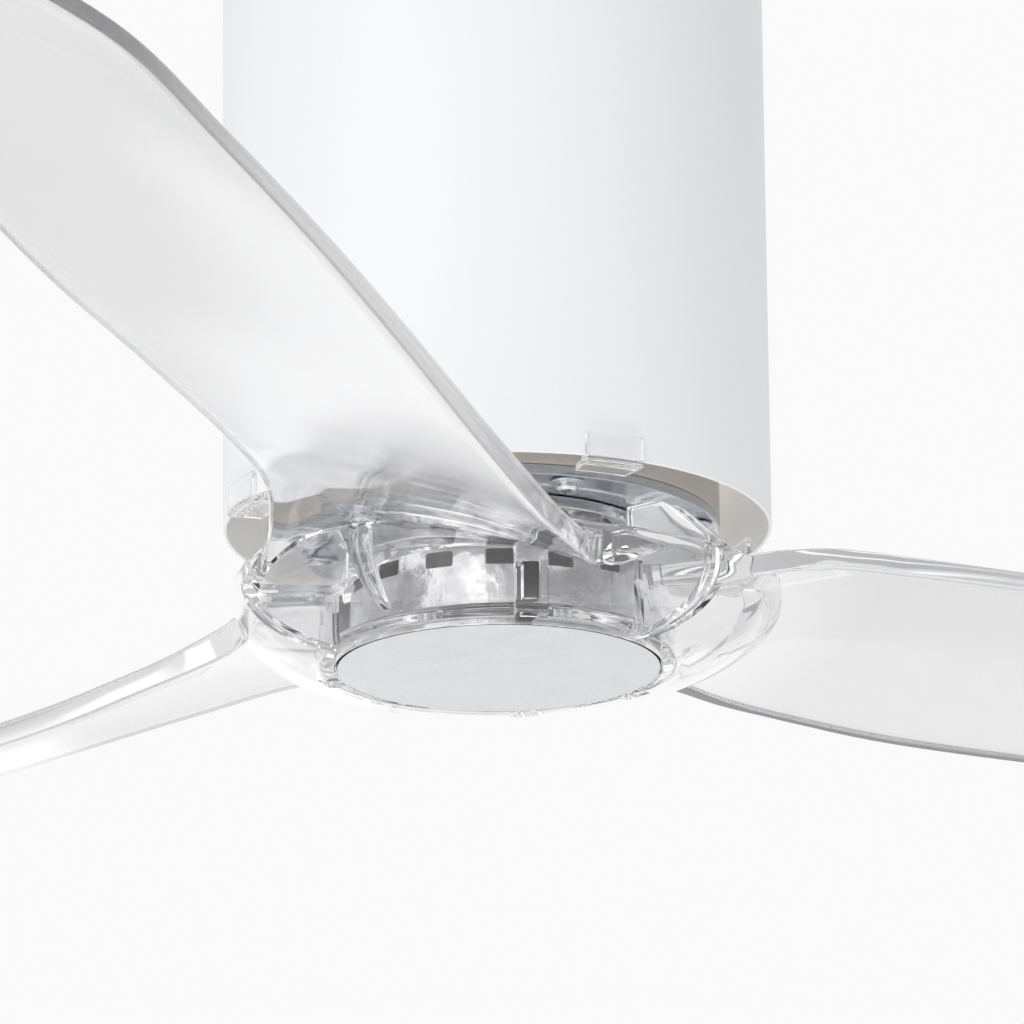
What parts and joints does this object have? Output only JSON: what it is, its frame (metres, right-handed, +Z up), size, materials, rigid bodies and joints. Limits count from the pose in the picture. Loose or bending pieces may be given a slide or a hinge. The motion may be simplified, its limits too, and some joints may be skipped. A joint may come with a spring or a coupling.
{
  "type": "ceiling fan",
  "caption": "Close-to-ceiling fan: white tube housing over an outer-rotor motor, with clear moulded paddle blades whose roots form a barrel-shaped hub.",
  "frame": {"origin": "centre of the ceiling plate's top face, on the motor axis", "axes": "+Z up into the ceiling; -Y is the front, the side the picture was taken from; +X to its right"},
  "size_m": [1.0996, 1.0786, 0.2939],
  "materials": {
    "white_paint": "gloss",
    "clear_plastic": "clear, polished",
    "satin_cap": "satin",
    "zinc_plate": "satin",
    "cast_aluminium": "bright",
    "dark_paint": "satin",
    "steel": "satin",
    "lamination": "matte",
    "copper": "varnished",
    "magnet": "matte",
    "rubber": "matte",
    "grey_plastic": "satin",
    "white_plastic": "satin",
    "board": "satin"
  },
  "bodies": {
    "housing": {"ceiling_plate": "steel", "stem_socket": "cast_aluminium", "socket_screw_1": "steel", "socket_screw_2": "steel", "socket_screw_3": "steel", "motor_stem": "steel", "stem_pin": "steel", "stem_pin_clip": "steel", "control_bracket": "steel", "bracket_screw_1": "steel", "bracket_screw_2": "steel", "control_case": "grey_plastic", "control_lid": "grey_plastic", "control_board": "board", "terminal_block": "white_plastic", "tube_housing": "white_paint", "tube_screw_1": "steel", "tube_screw_2": "steel", "tube_screw_3": "steel", "rim_clip_1": "clear_plastic", "rim_clip_2": "clear_plastic", "rim_clip_3": "clear_plastic", "rim_clip_4": "clear_plastic", "lower_bearing": "steel", "upper_bearing": "steel", "stator_core": "lamination", "winding_lower": "copper", "winding_upper": "copper"},
    "rotor": {"motor_case": "dark_paint", "magnet_ring": "magnet", "motor_flange": "zinc_plate", "flange_screw_1": "steel", "flange_screw_2": "steel", "flange_screw_3": "steel", "flange_screw_4": "steel", "flange_screw_5": "steel", "flange_screw_6": "steel", "hub_core": "cast_aluminium", "core_screw_1": "steel", "core_screw_2": "steel", "core_screw_3": "steel", "blade_1": "clear_plastic", "root_pad_1": "rubber", "blade_2": "clear_plastic", "root_pad_2": "rubber", "blade_3": "clear_plastic", "root_pad_3": "rubber", "blade_screw_1": "steel", "blade_screw_2": "steel", "blade_screw_3": "steel", "blade_screw_4": "steel", "blade_screw_5": "steel", "blade_screw_6": "steel", "cap_disc": "satin_cap"}
  },
  "joints": [
    {"name": "rotor_spin", "type": "hinge", "parent": "housing", "child": "rotor", "pos_m": [0, 0, -0.24], "axis": [0, 0, 1], "continuous": true}
  ]
}
